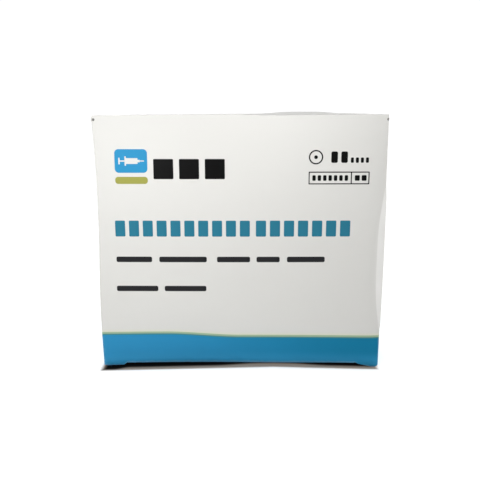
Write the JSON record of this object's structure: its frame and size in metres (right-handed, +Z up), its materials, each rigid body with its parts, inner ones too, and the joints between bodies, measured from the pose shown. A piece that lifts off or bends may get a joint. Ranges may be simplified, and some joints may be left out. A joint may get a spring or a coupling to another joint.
{
  "type": "syringe carton",
  "caption": "Closed folding carton of printed white boxboard with a hinged tuck lid, dust flaps and an interlocking bottom, for packed syringes.",
  "frame": {"origin": "middle of the carton's footprint, on the surface that it stands on", "axes": "+X to the right of the printed front, +Y from the front to the back, +Z up"},
  "size_m": [0.2176, 0.17, 0.1935],
  "materials": {
    "printed_board": "satin",
    "lid_board": "satin"
  },
  "bodies": {
    "carton": {"carton_body": "printed_board"},
    "lid": {"lid_panel": "lid_board"}
  },
  "joints": [
    {"name": "lid_hinge", "type": "hinge", "parent": "carton", "child": "lid", "pos_m": [0, 0.08375, 0.19075], "axis": [-1, 0, 0], "range_deg": [0, 170]}
  ]
}
